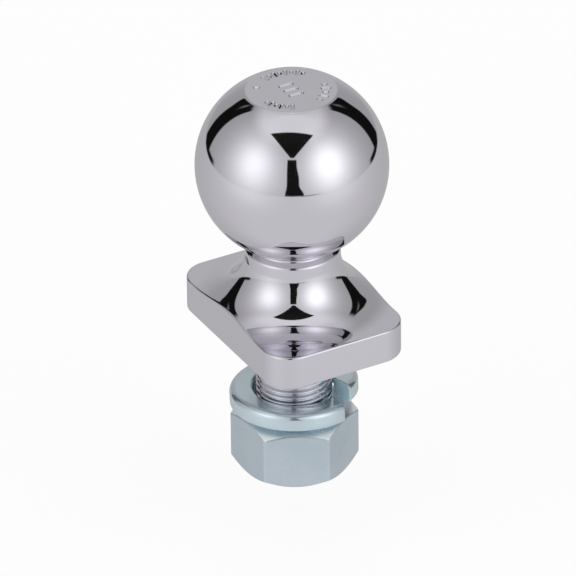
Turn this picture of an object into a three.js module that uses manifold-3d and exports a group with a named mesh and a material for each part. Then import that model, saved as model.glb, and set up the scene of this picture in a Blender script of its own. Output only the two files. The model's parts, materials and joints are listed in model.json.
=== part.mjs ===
// Trailer hitch ball with an anti-turn base, its spring lock washer and its hex nut.
// Millimetres, +Z up. The origin is the centre of the nut's bottom face, on the shank's axis.
// +X runs along the long side of the rectangular base.

import * as THREE from 'three';
import { mergeVertices } from 'three/addons/utils/BufferGeometryUtils.js';
import Module from 'manifold-3d';

const wasm = await Module();
wasm.setup();

// ---- driving dimensions -------------------------------------------------------------------

// 1-7/8 in ball with a flat top
const BALL_RADIUS = 23.8125;
const BALL_CENTRE_Z = 85.6;
const BALL_FLAT_RADIUS = 11.31;

// neck, shoulder, collar and flare between the ball and the base; depths are below the
// ball's centre
const NECK_RADIUS = 10.2;
const SHOULDER_TOP_DEPTH = 22.0;
const SHOULDER_END_DEPTH = 23.0;
const SHOULDER_ROUND = 0.35;
const COLLAR_RADIUS = 11.82;
const FLARE_START_DEPTH = 25.9;
const FLARE_START_TILT = 0.13;

// rectangular base
const BASE_LENGTH = 52.2;
const BASE_WIDTH = 37.6;
const BASE_CORNER_RADIUS = 7.4;
const BASE_TOP_DEPTH = 37.84;
const BASE_THICKNESS = 8.7;
const BASE_EDGE_BEVEL = 0.6;

// 3/4-16 UNF shank and its thread
const PITCH = 1.5875;
const SHANK_CREST_RADIUS = 9.5;
const SHANK_ROOT_RADIUS = 8.6;
const SHANK_END_Z = 1.3;
const SHANK_CHAMFER = 1.2;
const THREAD_RUNOUT = 2.0;
const CREST_HALF_FLAT = 0.1;
const FLANK_SLOPE = Math.tan(Math.PI / 6);
const THREAD_EMBED = 0.2;

// hex nut, 1-1/8 in class
const NUT_ACROSS_FLATS = 27.9;
const NUT_HEIGHT = 16.6;
const NUT_TURN = THREE.MathUtils.degToRad(-26.87);
const NUT_CHAMFER_RADIUS = 12.4;
const NUT_TOP_SLOPE = 0.577;
const NUT_BOTTOM_SLOPE = 0.7;
const NUT_CREST_RADIUS = 8.86;
const NUT_ROOT_RADIUS = 9.7;
const NUT_COUNTERSINK = 0.9;
const FLANK_CLEARANCE = 0.13;

// split spring lock washer for a 3/4 in bolt
const WASHER_INNER_RADIUS = 10.15;
const WASHER_OUTER_RADIUS = 16.0;
const WASHER_THICKNESS = 4.76;
const WASHER_EDGE_ROUND = 0.9;
const WASHER_RISE = 4.4;
const WASHER_LOW_END = THREE.MathUtils.degToRad(28.5);
const WASHER_SPLIT = 0.14;
const WASHER_CUT_SKEW = THREE.MathUtils.degToRad(28);
const WASHER_LEAN = [0.105, -0.017];
const WASHER_DROP = 0.68;
const WASHER_SHIFT = [0.04, 0.08];

// smoothness of the turned and helical faces
const BALL_SIDES = 40;
const THREAD_SIDES = 20;
const WASHER_SIDES = 40;

// ---- helpers ------------------------------------------------------------------------------

function toSolid(geometry) {
  const bare = geometry.clone();
  bare.deleteAttribute('normal');
  bare.deleteAttribute('uv');
  const merged = mergeVertices(bare, 1e-5);
  return new wasm.Manifold(new wasm.Mesh({
    numProp: 3,
    vertProperties: new Float32Array(merged.attributes.position.array),
    triVerts: new Uint32Array(merged.index.array),
  }));
}

function toMesh(name, solid, material) {
  const { vertProperties, triVerts } = solid.getMesh();
  const geometry = new THREE.BufferGeometry();
  geometry.setAttribute('position', new THREE.BufferAttribute(vertProperties, 3));
  geometry.setIndex(new THREE.BufferAttribute(triVerts, 1));
  const flat = geometry.toNonIndexed();
  flat.computeVertexNormals();
  const mesh = new THREE.Mesh(flat, material);
  mesh.name = name;
  return mesh;
}

// A turned solid about Z, from [radius, z] points that run up the outside, axis to axis.
function turned(points, sides) {
  const profile = points.map(([radius, z]) => new THREE.Vector2(radius, z));
  const geometry = new THREE.LatheGeometry(profile, sides);
  geometry.rotateX(Math.PI / 2);
  return toSolid(geometry);
}

// Points on an arc about [centreRadius, centreZ], from one angle to another.
function arcPoints(centreRadius, centreZ, radius, from, to, steps) {
  const points = [];
  for (let i = 0; i <= steps; i += 1) {
    const angle = from + (to - from) * i / steps;
    points.push([centreRadius + radius * Math.cos(angle), centreZ + radius * Math.sin(angle)]);
  }
  return points;
}

// A helix about Z whose section keeps one axis upright and the other level, pointing outward.
// A skew turns the level axis back along the coil, which slants the two end faces.
class HelixPath extends THREE.Curve {
  constructor(radius, startAngle, sweep, startZ, rise, skew = 0) {
    super();
    Object.assign(this, { radius, startAngle, sweep, startZ, rise, skew });
  }

  getPoint(t, target = new THREE.Vector3()) {
    const angle = this.startAngle + this.sweep * t;
    return target.set(
      this.radius * Math.cos(angle), this.radius * Math.sin(angle), this.startZ + this.rise * t);
  }

  computeFrenetFrames(segments) {
    const frames = { tangents: [], normals: [], binormals: [] };
    for (let i = 0; i <= segments; i += 1) {
      const angle = this.startAngle + this.sweep * i / segments;
      const outward = new THREE.Vector3(Math.cos(angle), Math.sin(angle), 0);
      const along = new THREE.Vector3(-outward.y, outward.x, 0).multiplyScalar(Math.sign(this.sweep));
      frames.tangents.push(along);
      frames.normals.push(outward.clone().addScaledVector(along, Math.tan(this.skew)));
      frames.binormals.push(along.clone().cross(outward));
    }
    return frames;
  }
}

function sweptAlong(path, outline, steps) {
  const shape = new THREE.Shape(outline.map(([x, y]) => new THREE.Vector2(x, y)));
  return toSolid(new THREE.ExtrudeGeometry(shape, { extrudePath: path, steps, curveSegments: 4 }));
}

// A right-hand thread ridge about Z, between two heights. Its section is a trapezoid that
// narrows from halfBase at the radius of the path to halfTip at a distance `reach` from it.
function threadRidge(radius, reach, halfBase, halfTip, fromZ, toZ, phase) {
  const turns = Math.ceil((toZ - fromZ) / PITCH);
  const path = new HelixPath(radius, 0, turns * 2 * Math.PI, fromZ + phase, turns * PITCH);
  const outline = [[0, -halfBase], [reach, -halfTip], [reach, halfTip], [0, halfBase]];
  return sweptAlong(path, reach > 0 ? outline : outline.reverse(), turns * THREAD_SIDES);
}

function roundedRectangle(length, width, radius) {
  const [x, y] = [length / 2, width / 2];
  const shape = new THREE.Shape();
  shape.moveTo(x, radius - y);
  shape.lineTo(x, y - radius);
  shape.absarc(x - radius, y - radius, radius, 0, Math.PI / 2);
  shape.lineTo(radius - x, y);
  shape.absarc(radius - x, y - radius, radius, Math.PI / 2, Math.PI);
  shape.lineTo(-x, radius - y);
  shape.absarc(radius - x, radius - y, radius, Math.PI, 1.5 * Math.PI);
  shape.lineTo(x - radius, -y);
  shape.absarc(x - radius, radius - y, radius, 1.5 * Math.PI, 2 * Math.PI);
  return shape;
}

// ---- hitch ball: one forging from the ball down to the threaded shank -----------------------

const BASE_TOP_Z = BALL_CENTRE_Z - BASE_TOP_DEPTH;
const BASE_BOTTOM_Z = BASE_TOP_Z - BASE_THICKNESS;

function ballAndNeck() {
  const flatAngle = Math.acos(BALL_FLAT_RADIUS / BALL_RADIUS);
  const meetAngle = -Math.acos(NECK_RADIUS / BALL_RADIUS);
  const shoulderZ = BALL_CENTRE_Z - SHOULDER_END_DEPTH;
  const shoulderSlope = (SHOULDER_END_DEPTH - SHOULDER_TOP_DEPTH) / (COLLAR_RADIUS - NECK_RADIUS);
  return turned([
    [0, BASE_TOP_Z - 1],
    [COLLAR_RADIUS, BASE_TOP_Z - 1],
    [COLLAR_RADIUS, shoulderZ - SHOULDER_ROUND],
    [COLLAR_RADIUS - SHOULDER_ROUND, shoulderZ + SHOULDER_ROUND * shoulderSlope],
    [NECK_RADIUS, BALL_CENTRE_Z - SHOULDER_TOP_DEPTH],
    ...arcPoints(0, BALL_CENTRE_Z, BALL_RADIUS, meetAngle, 0, 9),
    ...arcPoints(0, BALL_CENTRE_Z, BALL_RADIUS, 0, flatAngle, 9).slice(1),
    [0, BALL_CENTRE_Z + BALL_RADIUS * Math.sin(flatAngle)],
  ], BALL_SIDES);
}

// The flare is one hollow arc that leaves the collar steeply and ends flat on the base. Its
// foot is wider than the base's short side, so the base's side faces rise into it.
function flareAndBase() {
  const startZ = BALL_CENTRE_Z - FLARE_START_DEPTH;
  const arcRadius = (startZ - BASE_TOP_Z) / (1 - Math.sin(FLARE_START_TILT));
  const arcCentre = COLLAR_RADIUS + arcRadius * Math.cos(FLARE_START_TILT);
  const flare = arcPoints(arcCentre, BASE_TOP_Z + arcRadius, arcRadius,
    1.5 * Math.PI, Math.PI + FLARE_START_TILT, 8);
  const turnedBlock = turned([
    [0, BASE_BOTTOM_Z - 2],
    [BASE_LENGTH, BASE_BOTTOM_Z - 2],
    [BASE_LENGTH, BASE_TOP_Z],
    ...flare,
    [0, startZ],
  ], BALL_SIDES);
  const outline = roundedRectangle(BASE_LENGTH - 2 * BASE_EDGE_BEVEL,
    BASE_WIDTH - 2 * BASE_EDGE_BEVEL, BASE_CORNER_RADIUS - BASE_EDGE_BEVEL);
  const prism = new THREE.ExtrudeGeometry(outline, {
    depth: startZ - BASE_BOTTOM_Z,
    bevelThickness: BASE_EDGE_BEVEL,
    bevelSize: BASE_EDGE_BEVEL,
    bevelSegments: 1,
    curveSegments: 8,
  });
  prism.translate(0, 0, BASE_BOTTOM_Z + BASE_EDGE_BEVEL);
  return toSolid(prism).intersect(turnedBlock);
}

function threadedShank() {
  const threadTop = BASE_BOTTOM_Z - THREAD_RUNOUT;
  const depth = SHANK_CREST_RADIUS - SHANK_ROOT_RADIUS;
  const core = turned([
    [0, SHANK_END_Z],
    [SHANK_CREST_RADIUS - SHANK_CHAMFER, SHANK_END_Z],
    [SHANK_ROOT_RADIUS, SHANK_END_Z + SHANK_CHAMFER - depth],
    [SHANK_ROOT_RADIUS, BASE_BOTTOM_Z + 1],
    [0, BASE_BOTTOM_Z + 1],
  ], THREAD_SIDES);
  const envelope = turned([
    [0, SHANK_END_Z],
    [SHANK_CREST_RADIUS - SHANK_CHAMFER, SHANK_END_Z],
    [SHANK_CREST_RADIUS + 1, SHANK_END_Z + SHANK_CHAMFER + 1],
    [SHANK_CREST_RADIUS + 1, threadTop - depth - 1],
    [SHANK_ROOT_RADIUS, threadTop],
    [0, threadTop],
  ], THREAD_SIDES);
  const reach = depth + THREAD_EMBED;
  const ridge = threadRidge(SHANK_ROOT_RADIUS - THREAD_EMBED, reach,
    CREST_HALF_FLAT + reach * FLANK_SLOPE, CREST_HALF_FLAT, -PITCH, threadTop, 0);
  return core.add(ridge.intersect(envelope));
}

// ---- lock washer ----------------------------------------------------------------------------

// A left-hand split coil of rectangular section with rounded edges, coiled about Z from its
// low end clockwise up to its raised end.
function washerCoil() {
  const meanRadius = (WASHER_INNER_RADIUS + WASHER_OUTER_RADIUS) / 2;
  const sweep = -(2 * Math.PI - WASHER_SPLIT);
  const rise = WASHER_RISE * -sweep / (2 * Math.PI);
  const path = new HelixPath(
    meanRadius, WASHER_LOW_END, sweep, WASHER_THICKNESS / 2, rise, WASHER_CUT_SKEW);
  const x = (WASHER_OUTER_RADIUS - WASHER_INNER_RADIUS) / 2;
  const y = WASHER_THICKNESS / 2;
  const outline = [];
  [[1, 1], [-1, 1], [-1, -1], [1, -1]].forEach(([signX, signY], corner) => {
    const start = corner * Math.PI / 2;
    outline.push(...arcPoints(signX * (x - WASHER_EDGE_ROUND), signY * (y - WASHER_EDGE_ROUND),
      WASHER_EDGE_ROUND, start, start + Math.PI / 2, 3));
  });
  return sweptAlong(path, outline, WASHER_SIDES);
}

// ---- hex nut --------------------------------------------------------------------------------

function nutBlank() {
  const cornerRadius = NUT_ACROSS_FLATS / Math.sqrt(3);
  const hexagon = new THREE.CylinderGeometry(cornerRadius, cornerRadius, NUT_HEIGHT, 6);
  hexagon.rotateX(Math.PI / 2);
  hexagon.rotateZ(NUT_TURN);
  hexagon.translate(0, 0, NUT_HEIGHT / 2);
  const reach = cornerRadius + 1 - NUT_CHAMFER_RADIUS;
  const chamfered = turned([
    [0, 0],
    [NUT_CHAMFER_RADIUS, 0],
    [cornerRadius + 1, reach * NUT_BOTTOM_SLOPE],
    [cornerRadius + 1, NUT_HEIGHT - reach * NUT_TOP_SLOPE],
    [NUT_CHAMFER_RADIUS, NUT_HEIGHT],
    [0, NUT_HEIGHT],
  ], BALL_SIDES);
  return toSolid(hexagon).intersect(chamfered);
}

// A hole of one radius through the nut, countersunk at 45 degrees at both mouths.
function nutHole(radius) {
  const mouth = NUT_CREST_RADIUS + NUT_COUNTERSINK;
  return turned([
    [0, -1],
    [mouth + 1, -1],
    [radius, mouth - radius],
    [radius, NUT_HEIGHT - mouth + radius],
    [mouth + 1, NUT_HEIGHT + 1],
    [0, NUT_HEIGHT + 1],
  ], THREAD_SIDES);
}

// The internal ridge stands midway between the turns of the shank's thread, and is thinner
// than the space between them by the flank clearance on both sides.
function threadedNut() {
  const baseRadius = NUT_ROOT_RADIUS + THREAD_EMBED;
  const ridgeHalf = (radius) => PITCH / 2 - CREST_HALF_FLAT - FLANK_CLEARANCE
    - (SHANK_CREST_RADIUS - radius) * FLANK_SLOPE;
  const ridge = threadRidge(baseRadius, NUT_CREST_RADIUS - baseRadius,
    ridgeHalf(baseRadius), ridgeHalf(NUT_CREST_RADIUS), -2 * PITCH, NUT_HEIGHT + PITCH, PITCH / 2);
  const blank = nutBlank();
  const threads = ridge.intersect(blank).subtract(nutHole(NUT_CREST_RADIUS));
  return blank.subtract(nutHole(NUT_ROOT_RADIUS)).add(threads);
}

// ---- assembly -------------------------------------------------------------------------------

const chrome = new THREE.MeshStandardMaterial({ color: 0xb9b7be, roughness: 0.06, metalness: 1 });
const zincNut = new THREE.MeshStandardMaterial({ color: 0xa5b2bc, roughness: 0.34, metalness: 1 });
const zincWasher = new THREE.MeshStandardMaterial({ color: 0x9dabb5, roughness: 0.4, metalness: 1 });

const hitchBall = ballAndNeck().add(flareAndBase()).add(threadedShank());

// The washer leans on the nut: it touches at its far side and stands clear at its near side.
const lockWasher = toMesh('lock_washer', washerCoil(), zincWasher);
const washerUp = new THREE.Vector3(-WASHER_LEAN[0], -WASHER_LEAN[1], 1).normalize();
lockWasher.quaternion.setFromUnitVectors(new THREE.Vector3(0, 0, 1), washerUp);
lockWasher.position.set(...WASHER_SHIFT, NUT_HEIGHT - WASHER_DROP);

const assembly = new THREE.Group();
assembly.add(toMesh('hitch_ball', hitchBall, chrome));
assembly.add(lockWasher);
assembly.add(toMesh('hex_nut', threadedNut(), zincNut));

export default assembly;
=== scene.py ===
"""Looks for a chromed trailer hitch ball with its split lock washer and hex nut.

Every shape is worked out in millimetres in the part's own frame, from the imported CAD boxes
and a few driving dimensions, and is turned into metres when its mesh is made.
"""
import json
import math

import bmesh
import bpy
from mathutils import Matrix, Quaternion, Vector


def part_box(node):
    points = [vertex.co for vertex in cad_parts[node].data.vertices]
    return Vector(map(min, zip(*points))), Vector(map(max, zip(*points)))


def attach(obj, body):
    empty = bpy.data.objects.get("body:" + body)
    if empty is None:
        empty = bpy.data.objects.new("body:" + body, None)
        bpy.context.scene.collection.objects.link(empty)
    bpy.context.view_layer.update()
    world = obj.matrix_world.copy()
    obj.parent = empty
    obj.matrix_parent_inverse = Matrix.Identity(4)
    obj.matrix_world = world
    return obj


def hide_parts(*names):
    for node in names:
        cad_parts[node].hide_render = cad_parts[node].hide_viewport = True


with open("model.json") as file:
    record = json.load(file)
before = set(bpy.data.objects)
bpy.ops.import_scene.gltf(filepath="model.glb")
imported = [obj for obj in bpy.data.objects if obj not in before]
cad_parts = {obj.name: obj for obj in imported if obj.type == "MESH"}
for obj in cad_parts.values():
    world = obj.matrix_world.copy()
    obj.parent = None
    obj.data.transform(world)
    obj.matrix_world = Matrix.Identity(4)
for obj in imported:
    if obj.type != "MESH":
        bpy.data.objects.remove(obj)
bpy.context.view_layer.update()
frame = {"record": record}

MM = 0.001
TURN = 2 * math.pi

# ---- sizes read from the CAD boxes, in millimetres -------------------------------------------

ball_low, ball_high = (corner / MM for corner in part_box("hitch_ball"))
nut_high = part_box("hex_nut")[1] / MM

BALL_RADIUS = ball_high.y
BASE_HALF_LENGTH = ball_high.x
SHANK_END_Z = ball_low.z
NUT_HEIGHT = nut_high.z

# ---- driving dimensions, in millimetres ------------------------------------------------------

FLAT_RADIUS = 11.31
FLAT_RIM_ROUND = 0.3
BALL_Z = ball_high.z - math.sqrt(BALL_RADIUS ** 2 - FLAT_RADIUS ** 2)

# Plain bars stand in for a stamp: groups round the top as (first angle, spacing, count).
MARK_GROUPS = ((131.25, 9.7, 8), (287.25, 9.2, 6), (26.25, 13.0, 5), (233.25, 9.0, 1))
MARK_RING_RADIUS = 8.5
MARK_LONG, MARK_SHORT = 1.7, 0.68
MARK_REACH = MARK_LONG + 1.0
MARK_HALF_WIDTH = 0.26
MARK_FLOOR_SHARE = 0.3
MARK_SLOPE = 0.33
MARK_DEPTH = 0.38
CENTRE_BARS = tuple(((x, -1.4), (x, 1.4)) for x in (-2.6, 0.0, 2.6))
CENTRE_HALF_WIDTH = 0.42
CENTRE_DEPTH = 0.45

NECK_RADIUS = 10.2
NECK_FILLET = 0.3
SHOULDER_TOP_DEPTH = 22.0
SHOULDER_END_DEPTH = 23.0
SHOULDER_ROUND = 0.45
COLLAR_RADIUS = 11.82
FLARE_START_DEPTH = 25.9
FLARE_START_TILT = 0.13

BASE_HALF_WIDTH = 18.8
BASE_CORNER_RADIUS = 7.4
BASE_TOP_DEPTH = 37.84
BASE_THICKNESS = 8.7
BASE_EDGE_ROUND = 0.45
BASE_TOP_Z = BALL_Z - BASE_TOP_DEPTH
BASE_BOTTOM_Z = BASE_TOP_Z - BASE_THICKNESS

PITCH = 1.5875
THREAD_CREST_RADIUS = 9.5
THREAD_ROOT_RADIUS = 8.6
THREAD_CREST_HALF_FLAT = 0.16
THREAD_RUNOUT = 2.0
THREAD_FADE = 1.6
THREAD_SINK = 0.8
SHANK_CHAMFER = 1.2

NUT_ACROSS_FLATS = 27.9
NUT_CORNER_ROUND = 1.1
NUT_TURN = math.radians(-26.87)
NUT_CHAMFER_RADIUS = 12.4
NUT_TOP_SLOPE = 0.577
NUT_BOTTOM_SLOPE = 0.7
NUT_EDGE_ROUND = 0.4
NUT_CREST_RADIUS = 8.86
NUT_ROOT_RADIUS = 9.66
NUT_ROOT_HALF_FLAT = 0.2
NUT_COUNTERSINK = 0.9
NUT_CHAMFER_BLEND = 0.25
# Radii over which the painted highlight on the nut's chamfer corners fades in.
NUT_PAINTED_HIGHLIGHT_RADII = (13.6, 15.0)

WASHER_INNER_RADIUS = 10.15
WASHER_OUTER_RADIUS = 16.0
WASHER_MEAN_RADIUS = (WASHER_INNER_RADIUS + WASHER_OUTER_RADIUS) / 2
WASHER_THICKNESS = 4.76
WASHER_EDGE_ROUND = 0.9
WASHER_TOP_ROUND = 1.6
WASHER_RISE = 4.4
WASHER_LOW_END = math.radians(28.5)
WASHER_SPLIT = 0.14
WASHER_CUT_SKEW = math.radians(28)
WASHER_BURR = 0.35
WASHER_BURR_SHRINK = 0.0875
WASHER_LEAN = (0.105, -0.017)
WASHER_DROP = 0.68
WASHER_SHIFT = (0.04, 0.08)

# ---- mesh density ----------------------------------------------------------------------------

FLAT_ROWS = 84
BALL_ROWS = 150
FLARE_ARC_STEPS = 80
FLARE_ROWS = 60
COLLAR_RING_GAPS = (2.0, 1.5, 1.0, 0.6, 0.3, 0.1)
RIM_STEPS = 5
FILLET_STEPS = 5
SHOULDER_STEPS = 8
EDGE_STEPS = 6
BASE_SIDE_STEPS, BASE_CORNER_STEPS = 56, 28
BASE_SIDE_ROWS = 6
UNDERSIDE_SHARES = (0.995, 0.9, 0.75)
ROWS_PER_PITCH = 24
SHANK_SIDES = 192
NUT_SIDE_STEPS, NUT_CORNER_STEPS = 24, 8
NUT_CHAMFER_STEPS = 4
NUT_MOUTH_BAND = 0.2
NUT_END_RING_RADIUS = 11.0
NUT_CHAMFER_BAND = 0.4
NUT_CHAMFER_SHARES = (0.3, 0.7)
NUT_SIDE_BAND = 0.15
NUT_SIDE_SHARES = (0.3, 0.5, 0.7)
WASHER_TURNS = 220
WASHER_SIDE_STEPS, WASHER_CORNER_STEPS = 5, 10
WELD_DISTANCE = 2e-4
SLIVER_DISTANCE = 1e-4
FLAT_FACE_WEIGHT = 80


# ---- mesh helpers ----------------------------------------------------------------------------

def polar(radius, angle, z):
    """The point at a radius and an angle about the shank's axis."""
    return (radius * math.cos(angle), radius * math.sin(angle), z)


def steps(start, end, count):
    """count + 1 evenly spaced numbers, both ends included."""
    return [start + (end - start) * i / count for i in range(count + 1)]


def bend(start, control, end, count):
    """Points on a quadratic curve that rounds off the corner at control."""
    curve = []
    for t in steps(0, 1, count):
        curve.append(tuple(
            (1 - t) ** 2 * a + 2 * t * (1 - t) * b + t * t * c
            for a, b, c in zip(start, control, end)))
    return curve


def from_to(start, end, distance):
    """The point at a distance from start on the way to end."""
    share = distance / math.dist(start, end)
    return tuple(a + (b - a) * share for a, b in zip(start, end))


def smooth_step(value, low, high):
    """0 below low, 1 above high, and a smooth ramp between."""
    t = min(max((value - low) / (high - low), 0.0), 1.0)
    return t * t * (3 - 2 * t)


class Skin:
    """Collects rings of points and the faces between them, and makes one closed mesh."""

    def __init__(self):
        self.points = []
        self.faces = []

    def loft(self, rings, shift=0):
        """Joins ring to ring. With a shift, each ring's end meets the start of a later ring,
        as a screw thread does."""
        first = len(self.points)
        size = len(rings[0])
        for ring in rings:
            self.points.extend(ring)
        for row in range(len(rings) - 1):
            for i in range(size):
                last = i == size - 1
                hop = shift if last else 0
                if row + 1 + hop >= len(rings):
                    continue
                a = first + row * size + i
                b = first + (row + hop) * size + (i + 1) % size
                self.faces.append((a, b, b + size, a + size))

    def cap(self, ring, centre):
        """Closes a ring with a fan of triangles to its centre."""
        first = len(self.points)
        self.points.extend(ring)
        self.points.append(centre)
        hub = len(self.points) - 1
        for i in range(len(ring)):
            self.faces.append((first + i, first + (i + 1) % len(ring), hub))

    def to_object(self, name):
        mesh = bpy.data.meshes.new(name)
        mesh.from_pydata([Vector(p) * MM for p in self.points], [], self.faces)
        work = bmesh.new()
        work.from_mesh(mesh)
        bmesh.ops.remove_doubles(work, verts=work.verts, dist=WELD_DISTANCE * MM)
        bmesh.ops.dissolve_degenerate(work, edges=work.edges, dist=SLIVER_DISTANCE * MM)
        bmesh.ops.recalc_face_normals(work, faces=work.faces)
        work.to_mesh(mesh)
        work.free()
        for face in mesh.polygons:
            face.use_smooth = True
        piece = bpy.data.objects.new(name, mesh)
        bpy.context.scene.collection.objects.link(piece)
        return piece


def weight_normals(piece):
    """Lets the large flat faces keep flat reflections beside their rounded edges."""
    modifier = piece.modifiers.new("weighted_normals", "WEIGHTED_NORMAL")
    modifier.mode = "FACE_AREA_WITH_ANGLE"
    modifier.weight = FLAT_FACE_WEIGHT
    modifier.keep_sharp = True


def rounded_outline(corners, radii, side_steps, corner_steps):
    """A rounded polygon as (point, outward normal) pairs, anticlockwise."""
    outline = []
    count = len(corners)
    for k in range(count):
        radius, next_radius = radii[k], radii[(k + 1) % count]
        here, ahead = Vector(corners[k]), Vector(corners[(k + 1) % count])
        behind = Vector(corners[k - 1])
        along_in = (here - behind).normalized()
        along_out = (ahead - here).normalized()
        turn = along_in.angle_signed(along_out) * -1
        trim = radius * math.tan(turn / 2)
        centre = here - along_in * trim + Vector((-along_in.y, along_in.x)) * radius
        start = math.atan2(-along_in.x, along_in.y)
        for angle in steps(start, start + turn, corner_steps):
            normal = Vector((math.cos(angle), math.sin(angle)))
            outline.append((centre + normal * radius, normal))
        normal = Vector((along_out.y, -along_out.x))
        run_from = here + along_out * trim
        next_out = (Vector(corners[(k + 2) % count]) - ahead).normalized()
        next_trim = next_radius * math.tan(-along_out.angle_signed(next_out) / 2)
        run_to = ahead - along_out * next_trim
        for t in steps(0, 1, side_steps)[1:-1]:
            outline.append((run_from.lerp(run_to, t), normal))
    return outline


# ---- the forging: ball, neck, collar, flare and base --------------------------------------------

def bar_depth(x, y, start, end, half_width):
    """1 inside a short straight bar pressed from start to end, 0 outside, with sloped sides."""
    run_x, run_y = end[0] - start[0], end[1] - start[1]
    t = ((x - start[0]) * run_x + (y - start[1]) * run_y) / (run_x ** 2 + run_y ** 2)
    t = min(max(t, 0.0), 1.0)
    away = math.hypot(x - start[0] - run_x * t, y - start[1] - run_y * t)
    return 1 - smooth_step(away, half_width * MARK_FLOOR_SHARE, half_width + MARK_SLOPE)


def ring_bars():
    """Radial bars, short and long in turn, round the flat top, as (start, end) points."""
    bars = []
    for first, spacing, count in MARK_GROUPS:
        for k in range(count):
            angle = math.radians(first + spacing * k)
            half = (MARK_LONG if k % 2 else MARK_SHORT) / 2
            bars.append((
                polar(MARK_RING_RADIUS - half, angle, 0)[:2],
                polar(MARK_RING_RADIUS + half, angle, 0)[:2]))
    return bars


STAMPED_BARS = ring_bars()


def stamped_depth(x, y):
    """Depth of the plain generic marks pressed into the flat top."""
    depth = 0.0
    for start, end in STAMPED_BARS:
        if math.dist((x, y), start) < MARK_REACH:
            depth = max(depth, MARK_DEPTH * bar_depth(x, y, start, end, MARK_HALF_WIDTH))
    for start, end in CENTRE_BARS:
        depth = max(depth, CENTRE_DEPTH * bar_depth(x, y, start, end, CENTRE_HALF_WIDTH))
    return depth


def flare_profile():
    """The hollow arc from collar to base, as (radius, depth) points, and on along the flat."""
    drop = BASE_TOP_DEPTH - FLARE_START_DEPTH
    arc = drop / (1 - math.sin(FLARE_START_TILT))
    centre = COLLAR_RADIUS + arc * math.cos(FLARE_START_TILT)
    top = BASE_TOP_DEPTH - arc
    points = [
        (centre - arc * math.cos(a), top + arc * math.sin(a))
        for a in steps(FLARE_START_TILT, math.pi / 2, FLARE_ARC_STEPS)
    ]
    points.append((2 * BASE_HALF_LENGTH, BASE_TOP_DEPTH))
    return points


FLARE = flare_profile()


def flare_z(radius):
    """Height of the flare, or of the base's flat top beyond it, at a radius."""
    for (r0, d0), (r1, d1) in zip(FLARE, FLARE[1:]):
        if radius <= r1:
            t = max(0.0, (radius - r0) / (r1 - r0))
            return BALL_Z - (d0 + (d1 - d0) * t)
    return BASE_TOP_Z


def flare_radii(end_radius, count):
    """Radii along the flare up to end_radius, evenly spaced along its surface."""
    lengths = [0.0]
    for (r0, d0), (r1, d1) in zip(FLARE, FLARE[1:]):
        if r0 >= end_radius:
            break
        cut = min(1.0, (end_radius - r0) / (r1 - r0))
        lengths.append(lengths[-1] + cut * math.hypot(r1 - r0, d1 - d0))
    radii = []
    for goal in steps(0, lengths[-1], count)[1:]:
        k = 0
        while k < len(lengths) - 2 and lengths[k + 1] < goal:
            k += 1
        (r0, d0), (r1, d1) = FLARE[k], FLARE[k + 1]
        t = (goal - lengths[k]) / math.hypot(r1 - r0, d1 - d0)
        radii.append(r0 + (r1 - r0) * min(t, 1.0))
    return radii


def column_above_flare():
    """(radius, z) from the flat top's rim down over the ball to the start of the flare."""
    flat_angle = math.acos(FLAT_RADIUS / BALL_RADIUS)
    neck_angle = -math.acos(NECK_RADIUS / BALL_RADIUS)
    flat_z = BALL_Z + BALL_RADIUS * math.sin(flat_angle)
    edge_step = FLAT_RIM_ROUND / BALL_RADIUS
    rim = bend(
        (FLAT_RADIUS - FLAT_RIM_ROUND, flat_z), (FLAT_RADIUS, flat_z),
        (BALL_RADIUS * math.cos(flat_angle - edge_step),
         BALL_Z + BALL_RADIUS * math.sin(flat_angle - edge_step)), RIM_STEPS)
    sphere = [
        (BALL_RADIUS * math.cos(a), BALL_Z + BALL_RADIUS * math.sin(a))
        for a in steps(flat_angle - edge_step, neck_angle, BALL_ROWS)[1:]
    ]
    top = (NECK_RADIUS, BALL_Z - SHOULDER_TOP_DEPTH)
    end = (COLLAR_RADIUS, BALL_Z - SHOULDER_END_DEPTH)
    flare_start = (COLLAR_RADIUS, BALL_Z - FLARE_START_DEPTH)
    fillet = bend(
        from_to(top, sphere[-1], NECK_FILLET), top,
        from_to(top, end, NECK_FILLET), FILLET_STEPS)
    shoulder = bend(
        from_to(end, top, SHOULDER_ROUND), end,
        from_to(end, flare_start, SHOULDER_ROUND), SHOULDER_STEPS)
    collar = [from_to(flare_start, end, gap) for gap in COLLAR_RING_GAPS]
    return rim + sphere + fillet + shoulder + collar + [flare_start]


def base_outline():
    """The base's plan: its outer edge, and the matching points where its rounding starts."""
    corners = [
        (BASE_HALF_LENGTH * sx, BASE_HALF_WIDTH * sy)
        for sx, sy in ((1, -1), (1, 1), (-1, 1), (-1, -1))
    ]
    outline = rounded_outline(
        corners, (BASE_CORNER_RADIUS,) * 4, BASE_SIDE_STEPS, BASE_CORNER_STEPS)
    edge = [point for point, _ in outline]
    inset = [point - normal * BASE_EDGE_ROUND for point, normal in outline]
    return edge, inset


def flat_top_ring(radius, angles):
    """A ring of points on the flat top, with the marks pressed in."""
    ring = []
    for angle in angles:
        x, y, _ = polar(radius, angle, 0)
        ring.append((x, y, ball_high.z - stamped_depth(x, y)))
    return ring


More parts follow.
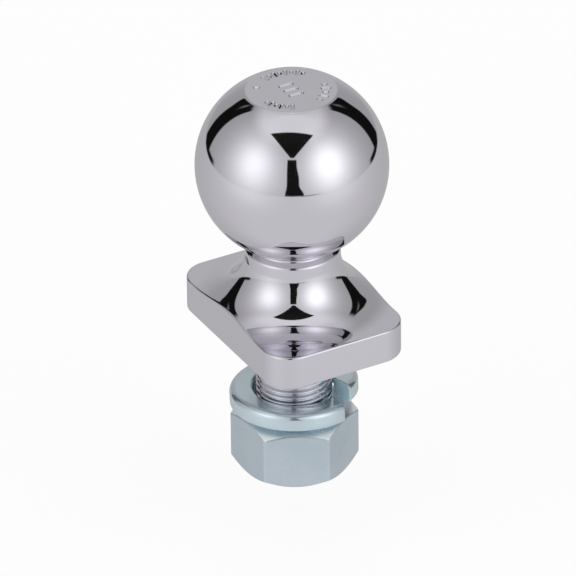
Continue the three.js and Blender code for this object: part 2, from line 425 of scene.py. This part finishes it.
def base_column(rim, inner):
    """Points over the base's top edge, down its side and in along its underside."""
    rim_z = flare_z(rim.length)
    top_curve = bend(
        (inner.x, inner.y, flare_z(inner.length)), (rim.x, rim.y, rim_z),
        (rim.x, rim.y, rim_z - BASE_EDGE_ROUND), EDGE_STEPS)[1:]
    bottom_curve = bend(
        (rim.x, rim.y, BASE_BOTTOM_Z + BASE_EDGE_ROUND), (rim.x, rim.y, BASE_BOTTOM_Z),
        (inner.x, inner.y, BASE_BOTTOM_Z), EDGE_STEPS)
    side_levels = steps(top_curve[-1][2], bottom_curve[0][2], BASE_SIDE_ROWS)[1:-1]
    side = [(rim.x, rim.y, z) for z in side_levels]
    under = [(inner.x * t, inner.y * t, BASE_BOTTOM_Z) for t in UNDERSIDE_SHARES]
    return top_curve + side + bottom_curve + under


def forged_body():
    """Ball, neck, collar, flare and base as one closed skin, ring by ring from the top."""
    edge, inset = base_outline()
    angles = [math.atan2(point.y, point.x) for point in inset]

    rings = []
    for radius in steps(0, FLAT_RADIUS - FLAT_RIM_ROUND, FLAT_ROWS)[1:-1]:
        rings.append(flat_top_ring(radius, angles))
    for radius, z in column_above_flare():
        rings.append([polar(radius, angle, z) for angle in angles])
    reach = [flare_radii(point.length, FLARE_ROWS) for point in inset]
    for row in range(FLARE_ROWS):
        rings.append([
            polar(radii[row], angle, flare_z(radii[row]))
            for radii, angle in zip(reach, angles)
        ])
    columns = [base_column(rim, inner) for rim, inner in zip(edge, inset)]
    rings.extend(list(ring) for ring in zip(*columns))
    rings.append([polar(THREAD_CREST_RADIUS, angle, BASE_BOTTOM_Z) for angle in angles])

    skin = Skin()
    skin.loft(rings)
    skin.cap(rings[0], (0, 0, ball_high.z - stamped_depth(0, 0)))
    skin.cap(rings[-1], (0, 0, BASE_BOTTOM_Z))
    piece = skin.to_object("forged_ball_and_base")
    weight_normals(piece)
    return piece


# ---- threads -----------------------------------------------------------------------------------

def ridge_height(phase, half_tip, half_root):
    """0 in the thread's root to 1 on its crest, with slightly rounded edges."""
    offset = abs(math.remainder(phase, 1.0)) * PITCH
    return 1 - smooth_step(offset, half_tip, PITCH / 2 - half_root)


def helical_rings(angles, low_z, high_z, radius_at):
    """Rings that climb one pitch a turn, pressed flat at both ends."""
    rows = math.ceil((high_z - low_z) / PITCH * ROWS_PER_PITCH)
    rings = []
    for row in range(-ROWS_PER_PITCH, rows + 2 * ROWS_PER_PITCH + 1):
        start_z = low_z + row * PITCH / ROWS_PER_PITCH
        phase = start_z / PITCH
        ring = []
        for angle in angles:
            z = min(max(start_z + PITCH * angle / TURN, low_z), high_z)
            ring.append(polar(radius_at(z, phase), angle, z))
        rings.append(ring)
    return rings


def threaded_shank():
    """The shank with its thread, chamfered at its end, and sunk a little into the base."""
    high_z = BASE_BOTTOM_Z + THREAD_SINK
    runout_z = BASE_BOTTOM_Z - THREAD_RUNOUT

    def radius_at(z, phase):
        height = THREAD_CREST_RADIUS - THREAD_ROOT_RADIUS
        height *= 1 - smooth_step(z, runout_z - THREAD_FADE, runout_z)
        ridge = ridge_height(phase, THREAD_CREST_HALF_FLAT, 0.0)
        chamfer = THREAD_CREST_RADIUS - SHANK_CHAMFER + z - SHANK_END_Z
        return min(THREAD_ROOT_RADIUS + height * ridge, chamfer)

    angles = steps(0, TURN, SHANK_SIDES)[:-1]
    rings = helical_rings(angles, SHANK_END_Z, high_z, radius_at)
    skin = Skin()
    skin.loft(rings, shift=ROWS_PER_PITCH)
    skin.cap(rings[0], (0, 0, SHANK_END_Z))
    skin.cap(rings[-1], (0, 0, high_z))
    return skin.to_object("threaded_shank")


# ---- hex nut -----------------------------------------------------------------------------------

def nut_outline():
    """The rounded hexagon as (point, normal) pairs, in order of angle from 0 to a turn."""
    corner_radius = NUT_ACROSS_FLATS / math.sqrt(3)
    corners = [
        (corner_radius * math.cos(a), corner_radius * math.sin(a))
        for a in (NUT_TURN + math.pi / 6 + k * math.pi / 3 for k in range(6))
    ]
    outline = rounded_outline(
        corners, (NUT_CORNER_ROUND,) * 6, NUT_SIDE_STEPS, NUT_CORNER_STEPS)
    outline.sort(key=lambda pair: math.atan2(pair[0].y, pair[0].x) % TURN)
    return outline


def nut_half_column(point, mouth, slope):
    """Points from the bore's mouth out over one flat face and its chamfer to a side point."""
    away = point.normalized()
    angle = math.atan2(point.y, point.x)
    inner = point.length - NUT_EDGE_ROUND
    drop = max(0.0, point.length - NUT_CHAMFER_RADIUS) * slope
    start = NUT_CHAMFER_RADIUS + NUT_CHAMFER_BLEND
    end_radii = (
        mouth, mouth + NUT_MOUTH_BAND,
        NUT_END_RING_RADIUS, NUT_CHAMFER_RADIUS - NUT_CHAMFER_BAND)
    column = [polar(radius, angle, 0.0) for radius in end_radii]
    column += bend(
        polar(NUT_CHAMFER_RADIUS - NUT_CHAMFER_BLEND, angle, 0.0),
        polar(NUT_CHAMFER_RADIUS, angle, 0.0),
        polar(start, angle, NUT_CHAMFER_BLEND * slope), NUT_CHAMFER_STEPS)
    for t in NUT_CHAMFER_SHARES:
        radius = start + (inner - start) * t
        column.append(polar(radius, angle, (radius - NUT_CHAMFER_RADIUS) * slope))
    column += bend(
        (away.x * inner, away.y * inner, (inner - NUT_CHAMFER_RADIUS) * slope),
        (point.x, point.y, drop), (point.x, point.y, drop + NUT_EDGE_ROUND), EDGE_STEPS)
    column.append((point.x, point.y, drop + NUT_EDGE_ROUND + NUT_SIDE_BAND))
    return column


def hex_nut():
    """The nut's outside, lofted from column to column, and its threaded bore."""
    outline = nut_outline()
    angles = [math.atan2(point.y, point.x) % TURN for point, _ in outline]
    mouth = NUT_CREST_RADIUS + NUT_COUNTERSINK
    columns = []
    for point, _ in outline:
        bottom = nut_half_column(point, mouth, NUT_BOTTOM_SLOPE)
        top = nut_half_column(point, mouth, NUT_TOP_SLOPE)
        other = [(x, y, NUT_HEIGHT - z) for x, y, z in reversed(top)]
        middle = [(point.x, point.y, NUT_HEIGHT * t) for t in NUT_SIDE_SHARES]
        columns.append(bottom + middle + other)
    rings = [list(ring) for ring in zip(*columns)]

    def radius_at(z, phase):
        height = NUT_ROOT_RADIUS - NUT_CREST_RADIUS
        ridge = ridge_height(phase + 0.5, 0.0, NUT_ROOT_HALF_FLAT)
        countersink = mouth - min(z, NUT_HEIGHT - z)
        return max(NUT_ROOT_RADIUS - height * ridge, countersink)

    skin = Skin()
    skin.loft(rings)
    skin.loft(helical_rings(angles, 0.0, NUT_HEIGHT, radius_at), shift=ROWS_PER_PITCH)
    piece = skin.to_object("plated_hex_nut")
    weight_normals(piece)
    return piece


# ---- split lock washer ---------------------------------------------------------------------------

def washer_section():
    """The rounded rectangular wire section, as (outward, up) offsets."""
    half_width = (WASHER_OUTER_RADIUS - WASHER_INNER_RADIUS) / 2
    half_height = WASHER_THICKNESS / 2
    corners = [
        (half_width * sx, half_height * sy) for sx, sy in ((1, -1), (1, 1), (-1, 1), (-1, -1))
    ]
    rounds = (WASHER_EDGE_ROUND, WASHER_TOP_ROUND, WASHER_EDGE_ROUND, WASHER_EDGE_ROUND)
    outline = rounded_outline(corners, rounds, WASHER_SIDE_STEPS, WASHER_CORNER_STEPS)
    return [tuple(point) for point, _ in outline]


def washer_ring(section, turned, shrink):
    """The wire's section some way along the coil, leaning with the washer on the nut."""
    angle = WASHER_LOW_END - turned
    outward = Vector((math.cos(angle), math.sin(angle), 0))
    along = Vector((outward.y, -outward.x, 0))
    skewed = outward + along * math.tan(WASHER_CUT_SKEW)
    height = WASHER_THICKNESS / 2 + WASHER_RISE * turned / TURN
    centre = outward * WASHER_MEAN_RADIUS + Vector((0, 0, height))
    up = Vector((-WASHER_LEAN[0], -WASHER_LEAN[1], 1)).normalized()
    lean = Vector((0, 0, 1)).rotation_difference(up)
    foot = Vector((*WASHER_SHIFT, NUT_HEIGHT - WASHER_DROP))
    return [
        tuple(foot + lean @ (centre + skewed * x * shrink + Vector((0, 0, y * shrink))))
        for x, y in section
    ]


def lock_washer():
    """One left-hand coil of the wire, with skewed cut ends that draw in over a short burr."""
    section = washer_section()
    sweep = TURN - WASHER_SPLIT
    burr = WASHER_BURR / WASHER_MEAN_RADIUS
    turns = [(0, 1 - WASHER_BURR_SHRINK), (burr / 3, 1 - WASHER_BURR_SHRINK / 3)]
    turns += [(t, 1.0) for t in steps(burr, sweep - burr, WASHER_TURNS)]
    turns += [(sweep - turned, shrink) for turned, shrink in reversed(turns[:2])]
    rings = [washer_ring(section, turned, shrink) for turned, shrink in turns]
    skin = Skin()
    skin.loft(rings)
    for ring in (rings[0], rings[-1]):
        middle = sum((Vector(p) for p in ring), Vector()) / len(ring)
        skin.cap(ring, tuple(middle))
    piece = skin.to_object("split_lock_washer")
    weight_normals(piece)
    return piece


# ---- materials -----------------------------------------------------------------------------------

# Noise scales are in waves a metre and bump depths in millimetres. Pairs are (from, to).
CHROME_DARK = (0.665, 0.65, 0.70, 1)
CHROME_LIGHT = (0.70, 0.685, 0.74, 1)
CHROME_ROUGHNESS = (0.025, 0.07)
CHROME_CLOUD_SCALE = 45.0
CHROME_HAZE_SCALE = 900.0
CHROME_HAZE_LIMITS = (0.35, 0.75)
CHROME_WAVE_SCALE = 160.0
CHROME_WAVE_STRENGTH = 0.05
CHROME_WAVE_DEPTH = 0.12

ZINC_CLOUD_SCALE = 90.0
ZINC_GRAIN_SCALE = 700.0
ZINC_NOISE_LIMITS = (0.3, 0.7)
ZINC_ROUGHNESS_SPREAD = 0.03
ZINC_CUT_END_AND_HIGHLIGHT_METAL_LOSS = 0.5
ZINC_BUMP_STRENGTH = 0.04
ZINC_BUMP_DEPTH = 0.2

# The nut's painted chamfer highlight spans these tilts of the normal's upright part, and fades out on
# the end faces.
CHAMFER_TILT = (0.5, 0.75)
END_FACE_TILT = (0.93, 0.985)
SHEARED_TURN = (0.35, 0.65)


class Nodes:
    """Short calls for building a node tree."""

    def __init__(self, tree):
        self.tree = tree
        tree.nodes.clear()

    def add(self, kind, inputs=None, **settings):
        node = self.tree.nodes.new(kind)
        for key, value in settings.items():
            setattr(node, key, value)
        for key, value in (inputs or {}).items():
            self.feed(node.inputs[key], value)
        return node

    def feed(self, socket, value):
        """Links a socket's output in, or sets a plain value."""
        if isinstance(value, bpy.types.NodeSocket):
            self.tree.links.new(value, socket)
        else:
            socket.default_value = value

    def maths(self, operation, *values):
        node = self.add("ShaderNodeMath", operation=operation)
        for socket, value in zip(node.inputs, values):
            self.feed(socket, value)
        return node.outputs[0]

    def ease(self, value, low, high, start=0.0, end=1.0):
        """Smoothly maps low..high to start..end."""
        node = self.add("ShaderNodeMapRange", interpolation_type="SMOOTHSTEP")
        for socket, number in zip(node.inputs, (value, low, high, start, end)):
            self.feed(socket, number)
        return node.outputs[0]

    def noise(self, coordinates, scale, detail=2.0, roughness=0.5):
        node = self.add("ShaderNodeTexNoise", {
            "Vector": coordinates, "Scale": scale, "Detail": detail, "Roughness": roughness})
        return node.outputs["Fac"]

    def mix_colour(self, factor, first, second):
        node = self.add("ShaderNodeMix", data_type="RGBA")
        self.feed(node.inputs["Factor"], factor)
        self.feed(node.inputs["A"], first)
        self.feed(node.inputs["B"], second)
        return node.outputs["Result"]


def chrome_material():
    """Mirror-smooth chrome with a faint haze and a slight waviness."""
    material = bpy.data.materials.new("bright_chrome_plate")
    material.use_nodes = True
    nodes = Nodes(material.node_tree)
    place = nodes.add("ShaderNodeTexCoord").outputs["Object"]
    cloud = nodes.noise(place, CHROME_CLOUD_SCALE, detail=3.0)
    haze = nodes.noise(place, CHROME_HAZE_SCALE, detail=4.0, roughness=0.65)
    colour = nodes.mix_colour(cloud, CHROME_DARK, CHROME_LIGHT)
    roughness = nodes.ease(haze, *CHROME_HAZE_LIMITS, *CHROME_ROUGHNESS)
    wave = nodes.noise(place, CHROME_WAVE_SCALE, detail=2.0)
    bump = nodes.add("ShaderNodeBump", {
        "Strength": CHROME_WAVE_STRENGTH, "Distance": CHROME_WAVE_DEPTH * MM, "Height": wave})
    shader = nodes.add("ShaderNodeBsdfPrincipled", {
        "Base Color": colour, "Metallic": 1.0, "Roughness": roughness,
        "Normal": bump.outputs[0]})
    nodes.add("ShaderNodeOutputMaterial", {"Surface": shader.outputs[0]})
    return material


def painted_chamfer_highlight_mask(nodes, place):
    """1 on the outer corners of the nut's chamfers, where a highlight is painted; 0 on its sides and
    ends.
    """
    normal = nodes.add("ShaderNodeNewGeometry").outputs["Normal"]
    tilt = nodes.maths("ABSOLUTE", nodes.add("ShaderNodeSeparateXYZ", {0: normal}).outputs[2])
    slope = nodes.maths(
        "MULTIPLY", nodes.ease(tilt, *CHAMFER_TILT), nodes.ease(tilt, *END_FACE_TILT, 1.0, 0.0))
    level = nodes.add("ShaderNodeVectorMath", {0: place, 1: (1, 1, 0)}, operation="MULTIPLY")
    radius = nodes.add("ShaderNodeVectorMath", {0: level.outputs[0]}, operation="LENGTH")
    highlight_radii = (limit * MM for limit in NUT_PAINTED_HIGHLIGHT_RADII)
    outer = nodes.ease(radius.outputs["Value"], *highlight_radii)
    return nodes.maths("MULTIPLY", slope, outer)


def sheared_mask(nodes, place):
    """1 on the washer's two cut ends, whose faces look along the coil."""
    normal = nodes.add("ShaderNodeNewGeometry").outputs["Normal"]
    level = nodes.add("ShaderNodeVectorMath", {0: place, 1: (1, 1, 0)}, operation="MULTIPLY")
    outward = nodes.add("ShaderNodeVectorMath", {0: level.outputs[0]}, operation="NORMALIZE")
    around = nodes.add(
        "ShaderNodeVectorMath", {0: outward.outputs[0], 1: normal}, operation="CROSS_PRODUCT")
    turn = nodes.add("ShaderNodeSeparateXYZ", {0: around.outputs[0]}).outputs[2]
    return nodes.ease(nodes.maths("ABSOLUTE", turn), *SHEARED_TURN)


def zinc_material(
        name, light, dark, metallic, smoothest, cut_end_and_painted_highlight_mask, cut_end_and_painted_highlight_colour, cut_end_and_painted_highlight_roughness):
    """Bluish zinc plate, with another colour and finish where the mask is 1: a painted highlight on the
    nut's chamfer corners, and the rougher sheared cut ends on the washer.
    """
    material = bpy.data.materials.new(name)
    material.use_nodes = True
    nodes = Nodes(material.node_tree)
    place = nodes.add("ShaderNodeTexCoord").outputs["Object"]
    cloud = nodes.noise(place, ZINC_CLOUD_SCALE, detail=3.0, roughness=0.55)
    grain = nodes.noise(place, ZINC_GRAIN_SCALE, detail=2.0, roughness=0.5)
    mask = cut_end_and_painted_highlight_mask(nodes, place)
    plate = nodes.mix_colour(nodes.ease(cloud, *ZINC_NOISE_LIMITS), dark, light)
    colour = nodes.mix_colour(mask, plate, cut_end_and_painted_highlight_colour)
    roughest = smoothest + ZINC_ROUGHNESS_SPREAD
    satin = nodes.ease(grain, *ZINC_NOISE_LIMITS, smoothest, roughest)
    roughness = nodes.add("ShaderNodeMix", {"Factor": mask, "A": satin, "B": cut_end_and_painted_highlight_roughness})
    metal_loss = nodes.maths("MULTIPLY", mask, ZINC_CUT_END_AND_HIGHLIGHT_METAL_LOSS)
    metal = nodes.maths("SUBTRACT", metallic, metal_loss)
    bump = nodes.add("ShaderNodeBump", {
        "Strength": ZINC_BUMP_STRENGTH, "Distance": ZINC_BUMP_DEPTH * MM, "Height": cloud})
    shader = nodes.add("ShaderNodeBsdfPrincipled", {
        "Base Color": colour, "Metallic": metal, "Roughness": roughness.outputs["Result"],
        "Normal": bump.outputs[0]})
    nodes.add("ShaderNodeOutputMaterial", {"Surface": shader.outputs[0]})
    return material


# ---- studio ----------------------------------------------------------------------------------------

CAMERA_AZIMUTH = 61.25
CAMERA_ELEVATION = 31.05
CAMERA_ROLL = -0.62
CAMERA_DISTANCE = 1.9725
CAMERA_LENS = 500
CAMERA_SENSOR = 36
CAMERA_REACH = 20
CAMERA_AIM = (-0.614, -1.123, 50.3)

# The tent's light, as relative brightness, and its places, as azimuth and elevation in degrees.
TENT_STRENGTH = 0.713
SIDE_LIGHT = (0.876, 0.603)
SIDE_FADE = (72.6, 127.1)
BACK_LIFT = 0.24
BACK_FADE = (150, 180)
LEFT_BOX_AZIMUTH, LEFT_BOX_LIGHT = -49.9, 1.14
RIGHT_BOX_AZIMUTH, RIGHT_BOX_LIGHT = 48.3, 1.455
BOX_WIDTH = 27.2
BOX_ELEVATION = 22.0
BOX_REACH_UP = 23.9
BOX_REACH_DOWN = 31.0
TOP_LIGHT = 0.36
TOP_FADE = (46, 64)

# The floor's own light, which the tent map shows below the horizon.
FLOOR_EDGE = (-10, -8.5)
FLOOR_LIGHT = (1.044, 0.672)
FLOOR_FADE = (49, 188)
FLOOR_GLOW = 0.317
FLOOR_GLOW_AZIMUTH, FLOOR_GLOW_WIDTH = 51, 27.8
FLOOR_GLOW_ELEVATION, FLOOR_GLOW_HEIGHT = -8, 17.6

# Dark gaps in the cloth; all stand on the floor's edge and let a little light through. The
# camera gap leans and widens over its low part, and more over its foot.
GAP_LEAK = 0.015
GAP_FOOT = (-9.5, -7.5)
CAMERA_GAP_TOP = (34, 36)
CAMERA_GAP_HALF_WIDTH = 6.3
CAMERA_GAP_BLUR = 0.8
LOW_PART = (12, 28)
LOW_PART_WIDENING = 0.9
FOOT_PART = (-8, 5)
FOOT_PART_LEAN = 1.5
FOOT_PART_WIDENING = 3.5

# The hem is a thin dark line that runs on from the camera gap's foot along the floor's edge.
HEM_START = (8, 10)
HEM_END = (20, 38)
HEM_DARKNESS = 0.8
HEM_BOTTOM = (-9.9, -9.0)
HEM_TOP = (-8.6, -7.8)

# The wedge is laid out on a flat sheet overhead, as distances over the sheet's height.
LOWEST_UP = 0.05
WEDGE_START = (36.5, 38)
WEDGE_TIP = 1.278
WEDGE_LEAN, WEDGE_MIDDLE = 0.016, 0.011
WEDGE_SPREAD, WEDGE_HALF_WIDTH = 0.457, 0.078
WEDGE_BLUR = 0.018
WEDGE_END = (0.39, 0.42)
WEDGE_END_SLOPE = 0.05

BACK_GAP_INNER = (118.5, 120.5)
BACK_GAP_OUTER = 138.0
BACK_GAP_BLUR = 1.0
BACK_GAP_TOP = (44, 50)
BULGE_ELEVATION, BULGE_HEIGHT, BULGE_WIDTH = 27, 6.5, 5.0
TRIM_FADE = (34, 46)
TRIM_WIDTH = -6.0
GLINT_AZIMUTH, GLINT_WIDTH = 130.5, 1.2
GLINT_ELEVATION, GLINT_HEIGHT = 36, 5.0
GLINT_LIGHT = 0.45
BACK_FOOT_INNER = (101, 109)
BACK_FOOT_OUTER = (130, 140)
BACK_FOOT_BOTTOM = (-10.5, -9)
BACK_FOOT_TOP = (-6.5, -4)

# The plain backdrop and floor that the camera sees. The floor is a sheet, in metres, that
# hangs below the nut's lowest travel by a gap in millimetres.
BACKDROP = (0.985, 0.985, 0.985, 1)
SHEET_SIZE = 8.0
SHEET_GAP = 0.2
SHEET_GLOW = (0.86, 0.86, 0.86, 1)
SHEET_MATT = (0.19, 0.19, 0.19, 1)
WHITE = (1.0, 1.0, 1.0, 1)


class TentMap:
    """Brightness of the studio tent for a direction, measured from the camera's side: azimuth
    0 looks towards the camera and grows to its right, and elevation 0 is level."""

    def __init__(self, nodes):
        self.nodes = nodes
        ray = nodes.add("ShaderNodeTexCoord").outputs["Generated"]
        turned = nodes.add("ShaderNodeVectorRotate", {
            "Vector": ray, "Angle": math.radians(-CAMERA_AZIMUTH)}, rotation_type="Z_AXIS")
        split = nodes.add("ShaderNodeSeparateXYZ", {0: turned.outputs[0]})
        self.right, away, self.up = split.outputs
        self.toward = nodes.maths("MULTIPLY", away, -1.0)
        self.azimuth = nodes.maths("DEGREES", nodes.maths("ARCTAN2", self.right, self.toward))
        self.aside = nodes.maths("ABSOLUTE", self.azimuth)
        self.elevation = nodes.maths("DEGREES", nodes.maths("ARCSINE", self.up))

    def plus(self, *values):
        """The sum of sockets and numbers."""
        return self.gather("ADD", values)

    def times(self, *values):
        """The product of sockets and numbers."""
        return self.gather("MULTIPLY", values)

    def gather(self, operation, values):
        """Joins the values one after another by the same operation."""
        result = values[0]
        for value in values[1:]:
            result = self.nodes.maths(operation, result, value)
        return result

    def bell(self, value, centre, width):
        """1 at the centre, falling off smoothly on both sides."""
        offset = self.nodes.maths("DIVIDE", self.nodes.maths("SUBTRACT", value, centre), width)
        return self.nodes.maths("EXPONENT", self.times(self.times(offset, offset), -1.0))

    def below(self, value, limit, blur):
        """1 where value is under limit, 0 above it, blurred across the edge."""
        return self.nodes.ease(self.nodes.maths("SUBTRACT", value, limit), -blur, blur, 1.0, 0.0)

    def cloth(self):
        """The lit tent: darker sides, a brighter back, two soft boxes and a lit top."""
        ease, bell = self.nodes.ease, self.bell
        side = ease(self.aside, *SIDE_FADE, *SIDE_LIGHT)
        back = ease(self.aside, *BACK_FADE, 0.0, BACK_LIFT)
        upper = self.nodes.maths("MAXIMUM", self.elevation, BOX_ELEVATION)
        lower = self.nodes.maths("MINIMUM", self.elevation, BOX_ELEVATION)
        high = bell(upper, BOX_ELEVATION, BOX_REACH_UP)
        low = bell(lower, BOX_ELEVATION, BOX_REACH_DOWN)
        left_box = self.times(bell(self.azimuth, LEFT_BOX_AZIMUTH, BOX_WIDTH), LEFT_BOX_LIGHT)
        right_box = self.times(bell(self.azimuth, RIGHT_BOX_AZIMUTH, BOX_WIDTH), RIGHT_BOX_LIGHT)
        boxes = self.times(self.plus(left_box, right_box), high, low)
        top = ease(self.elevation, *TOP_FADE, 0.0, TOP_LIGHT)
        return self.plus(side, back, boxes, top)

    def floor(self):
        """The lit floor: darker behind, with a soft glow below each soft box."""
        fall = self.nodes.ease(self.aside, *FLOOR_FADE, *FLOOR_LIGHT)
        glow = self.times(
            self.bell(self.aside, FLOOR_GLOW_AZIMUTH, FLOOR_GLOW_WIDTH),
            self.bell(self.elevation, FLOOR_GLOW_ELEVATION, FLOOR_GLOW_HEIGHT))
        return self.plus(fall, self.times(glow, FLOOR_GLOW))

    def camera_gap(self):
        """The dark upright gap in front, where the camera stands. It leans right and widens
        towards its foot, and a thin dark hem runs on from there along the floor's edge."""
        ease = self.nodes.ease
        low = ease(self.elevation, *LOW_PART, 1.0, 0.0)
        foot = ease(self.elevation, *FOOT_PART, 1.0, 0.0)
        centre = self.plus(low, self.times(foot, FOOT_PART_LEAN))
        width = self.plus(
            self.times(low, LOW_PART_WIDENING), self.times(foot, FOOT_PART_WIDENING),
            CAMERA_GAP_HALF_WIDTH)
        offset = self.nodes.maths("ABSOLUTE", self.nodes.maths("SUBTRACT", self.azimuth, centre))
        upright = self.times(
            self.below(offset, width, CAMERA_GAP_BLUR), ease(self.elevation, *GAP_FOOT),
            ease(self.elevation, *CAMERA_GAP_TOP, 1.0, 0.0))
        hem = self.times(
            ease(self.azimuth, *HEM_START), ease(self.azimuth, *HEM_END, HEM_DARKNESS, 0.0),
            ease(self.elevation, *HEM_BOTTOM), ease(self.elevation, *HEM_TOP, 1.0, 0.0))
        return self.nodes.maths("MAXIMUM", upright, hem)

    def overhead_gap(self):
        """The same gap's upper part, which widens into a wedge overhead."""
        ease = self.nodes.ease
        safe_up = self.nodes.maths("MAXIMUM", self.up, LOWEST_UP)
        plan_right = self.nodes.maths("DIVIDE", self.right, safe_up)
        plan_toward = self.nodes.maths("DIVIDE", self.toward, safe_up)
        drop = self.nodes.maths("SUBTRACT", WEDGE_TIP, plan_toward)
        middle = self.plus(self.times(drop, WEDGE_LEAN), WEDGE_MIDDLE)
        half = self.plus(self.times(drop, WEDGE_SPREAD), WEDGE_HALF_WIDTH)
        offset = self.nodes.maths("ABSOLUTE", self.nodes.maths("SUBTRACT", plan_right, middle))
        slope = self.times(plan_right, WEDGE_END_SLOPE)
        reach = self.nodes.maths("SUBTRACT", plan_toward, slope)
        return self.times(
            self.below(offset, half, WEDGE_BLUR), ease(reach, *WEDGE_END),
            ease(self.elevation, *WEDGE_START))

    def back_gaps(self):
        """Dark gaps on both sides of the backdrop, each with a dim foot on the floor."""
        ease = self.nodes.ease
        bulge = self.times(
            self.bell(self.elevation, BULGE_ELEVATION, BULGE_HEIGHT), BULGE_WIDTH)
        trim = ease(self.elevation, *TRIM_FADE, 0.0, TRIM_WIDTH)
        outer = self.plus(bulge, trim, BACK_GAP_OUTER)
        tall = self.times(
            ease(self.aside, *BACK_GAP_INNER), self.below(self.aside, outer, BACK_GAP_BLUR),
            ease(self.elevation, *GAP_FOOT), ease(self.elevation, *BACK_GAP_TOP, 1.0, 0.0))
        glint = self.times(
            self.bell(self.aside, GLINT_AZIMUTH, GLINT_WIDTH),
            self.bell(self.elevation, GLINT_ELEVATION, GLINT_HEIGHT))
        shade = self.nodes.maths("SUBTRACT", 1.0, self.times(glint, GLINT_LIGHT))
        slit = self.times(tall, shade)
        foot = self.times(
            ease(self.aside, *BACK_FOOT_INNER), ease(self.aside, *BACK_FOOT_OUTER, 1.0, 0.0),
            ease(self.elevation, *BACK_FOOT_BOTTOM),
            ease(self.elevation, *BACK_FOOT_TOP, 1.0, 0.0))
        return self.nodes.maths("MAXIMUM", slit, foot)

    def brightness(self):
        """The whole map: cloth above the floor's edge, dimmed in its gaps, and floor below."""
        dark = self.gather("MAXIMUM", (self.camera_gap(), self.overhead_gap(), self.back_gaps()))
        lit = self.times(self.cloth(), self.nodes.maths(
            "SUBTRACT", 1.0, self.times(dark, 1 - GAP_LEAK)))
        above = self.nodes.ease(self.elevation, *FLOOR_EDGE)
        both = self.nodes.add("ShaderNodeMix", {"Factor": above, "A": self.floor(), "B": lit})
        return self.times(both.outputs["Result"], TENT_STRENGTH)


def studio_world():
    """A white tent seen only in reflections and as light, behind a plain white backdrop."""
    world = bpy.data.worlds.new("studio_tent")
    bpy.context.scene.world = world
    world.use_nodes = True
    nodes = Nodes(world.node_tree)
    strength = TentMap(nodes).brightness()
    studio = nodes.add("ShaderNodeBackground", {"Color": WHITE, "Strength": strength})
    backdrop = nodes.add("ShaderNodeBackground", {"Color": BACKDROP, "Strength": 1.0})
    is_camera = nodes.add("ShaderNodeLightPath").outputs["Is Camera Ray"]
    choice = nodes.add("ShaderNodeMixShader", {
        0: is_camera, 1: studio.outputs[0], 2: backdrop.outputs[0]})
    nodes.add("ShaderNodeOutputWorld", {"Surface": choice.outputs[0]})


def studio_floor():
    """A pale floor just below the nut's lowest travel, clear when seen from underneath. It
    takes a faint shadow; the tent map stands for it in reflections."""
    travel = frame["record"]["behaviour"]["joints"][0]["range_m"]
    level = travel[0] - SHEET_GAP * MM
    bpy.ops.mesh.primitive_plane_add(size=SHEET_SIZE, location=(0, 0, level))
    floor = bpy.context.active_object
    floor.name = "studio_floor"
    material = bpy.data.materials.new("pale_floor")
    material.use_nodes = True
    nodes = Nodes(material.node_tree)
    glow = nodes.add("ShaderNodeEmission", {"Color": SHEET_GLOW, "Strength": 1.0})
    matt = nodes.add("ShaderNodeBsdfDiffuse", {"Color": SHEET_MATT})
    both = nodes.add("ShaderNodeAddShader", {0: glow.outputs[0], 1: matt.outputs[0]})
    clear = nodes.add("ShaderNodeBsdfTransparent")
    behind = nodes.add("ShaderNodeNewGeometry").outputs["Backfacing"]
    sheet = nodes.add("ShaderNodeMixShader", {
        0: behind, 1: both.outputs[0], 2: clear.outputs[0]})
    nodes.add("ShaderNodeOutputMaterial", {"Surface": sheet.outputs[0]})
    floor.data.materials.append(material)
    floor.visible_glossy = False


def studio_camera():
    """A long lens at the photograph's viewing angle."""
    azimuth, elevation = math.radians(CAMERA_AZIMUTH), math.radians(CAMERA_ELEVATION)
    aim = Vector(CAMERA_AIM) * MM
    forward = Vector((
        -math.sin(azimuth) * math.cos(elevation),
        math.cos(azimuth) * math.cos(elevation),
        -math.sin(elevation)))
    camera_data = bpy.data.cameras.new("product_camera")
    camera_data.lens = CAMERA_LENS
    camera_data.sensor_width = CAMERA_SENSOR
    camera_data.clip_end = CAMERA_REACH
    camera = bpy.data.objects.new("product_camera", camera_data)
    bpy.context.scene.collection.objects.link(camera)
    camera.location = aim - forward * CAMERA_DISTANCE
    look = forward.to_track_quat("-Z", "Y")
    camera.rotation_mode = "QUATERNION"
    camera.rotation_quaternion = look @ Quaternion((0, 0, 1), math.radians(CAMERA_ROLL))
    bpy.context.scene.camera = camera


# ---- assembly ----------------------------------------------------------------------------------------

bpy.context.scene.view_settings.view_transform = "Standard"

chrome = chrome_material()
# The nut's accent colour is a near-white highlight painted on its chamfer corners.
zinc_nut = zinc_material(
    name="zinc_plate_nut",
    light=(0.57, 0.65, 0.715, 1),
    dark=(0.52, 0.605, 0.67, 1),
    metallic=0.87,
    smoothest=0.27,
    cut_end_and_painted_highlight_mask=painted_chamfer_highlight_mask,
    cut_end_and_painted_highlight_colour=(0.94, 0.99, 1.0, 1),
    cut_end_and_painted_highlight_roughness=0.3)
zinc_washer = zinc_material(
    name="zinc_plate_washer",
    light=(0.64, 0.745, 0.80, 1),
    dark=(0.57, 0.68, 0.735, 1),
    metallic=0.75,
    smoothest=0.14,
    cut_end_and_painted_highlight_mask=sheared_mask,
    cut_end_and_painted_highlight_colour=(0.46, 0.65, 0.72, 1),
    cut_end_and_painted_highlight_roughness=0.45)

pieces = (
    (forged_body(), "hitch_ball", chrome, "chrome_plate"),
    (threaded_shank(), "hitch_ball", chrome, "chrome_plate"),
    (lock_washer(), "lock_washer", zinc_washer, "zinc_washer"),
    (hex_nut(), "hex_nut", zinc_nut, "zinc_nut"),
)
for piece, node, material, slot in pieces:
    piece.data.materials.append(material)
    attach(piece, node)
    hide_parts(node)

studio_world()
studio_floor()
studio_camera()
